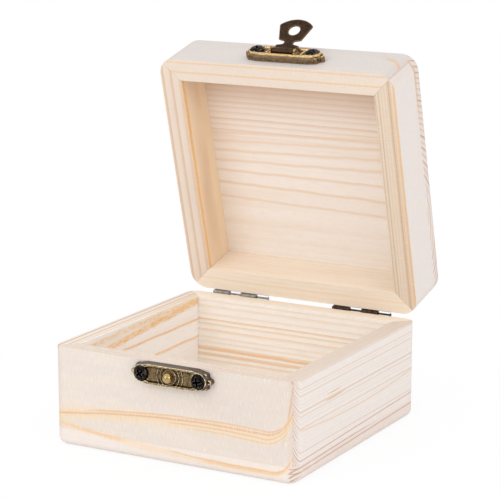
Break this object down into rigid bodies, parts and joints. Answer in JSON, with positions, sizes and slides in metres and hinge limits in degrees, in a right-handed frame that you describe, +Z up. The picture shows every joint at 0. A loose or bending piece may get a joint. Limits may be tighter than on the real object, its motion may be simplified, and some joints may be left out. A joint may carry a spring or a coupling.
{
  "type": "wooden jewelry box",
  "caption": "Small square pine keepsake box with mitred walls, a hinged deep lid and a bronze hasp whose flap latches over a stud.",
  "frame": {"origin": "middle of the underside, on the surface the box stands on", "axes": "+Z up, +X to the right seen from the clasp, +Y from the clasp to the hinges"},
  "size_m": [0.09, 0.1152, 0.1351],
  "materials": {
    "pine": "bare planed and sanded pine",
    "dark_bronze": "dark antiqued",
    "antique_bronze": "antiqued, worn bright on the edges",
    "flap_bronze": "satin antiqued",
    "stud_brass": "worn bright",
    "black_steel": "blackened",
    "pin_steel": "satin"
  },
  "bodies": {
    "tray": {"tray_front_wall": "pine", "tray_right_wall": "pine", "tray_back_wall": "pine", "tray_left_wall": "pine", "tray_bottom_board": "pine", "hinge_left_tray_leaf": "dark_bronze", "hinge_right_tray_leaf": "dark_bronze", "hinge_left_pin": "dark_bronze", "hinge_right_pin": "dark_bronze", "hinge_left_tray_screw_1": "dark_bronze", "hinge_left_tray_screw_2": "dark_bronze", "hinge_right_tray_screw_1": "dark_bronze", "hinge_right_tray_screw_2": "dark_bronze", "catch_plate": "antique_bronze", "catch_stud": "stud_brass", "catch_screw_left": "black_steel", "catch_screw_right": "black_steel"},
    "lid": {"lid_front_wall": "pine", "lid_right_wall": "pine", "lid_back_wall": "pine", "lid_left_wall": "pine", "lid_top_board": "pine", "hinge_left_lid_leaf": "dark_bronze", "hinge_right_lid_leaf": "dark_bronze", "hinge_left_lid_screw_1": "dark_bronze", "hinge_left_lid_screw_2": "dark_bronze", "hinge_right_lid_screw_1": "dark_bronze", "hinge_right_lid_screw_2": "dark_bronze", "hasp_plate": "antique_bronze", "hasp_pin": "pin_steel", "hasp_screw_left": "black_steel", "hasp_screw_right": "black_steel"},
    "flap": {"hasp_flap": "flap_bronze"}
  },
  "joints": [
    {"name": "lid_hinge", "type": "hinge", "parent": "tray", "child": "lid", "pos_m": [0, 0.0455, 0.03375], "axis": [1, 0, 0], "range_deg": [-104.75, 75.25]},
    {"name": "hasp_hinge", "type": "hinge", "parent": "lid", "child": "flap", "pos_m": [0.0015, 0.02784, 0.12537], "axis": [1, 0, 0], "range_deg": [-9, 152.3]}
  ]
}
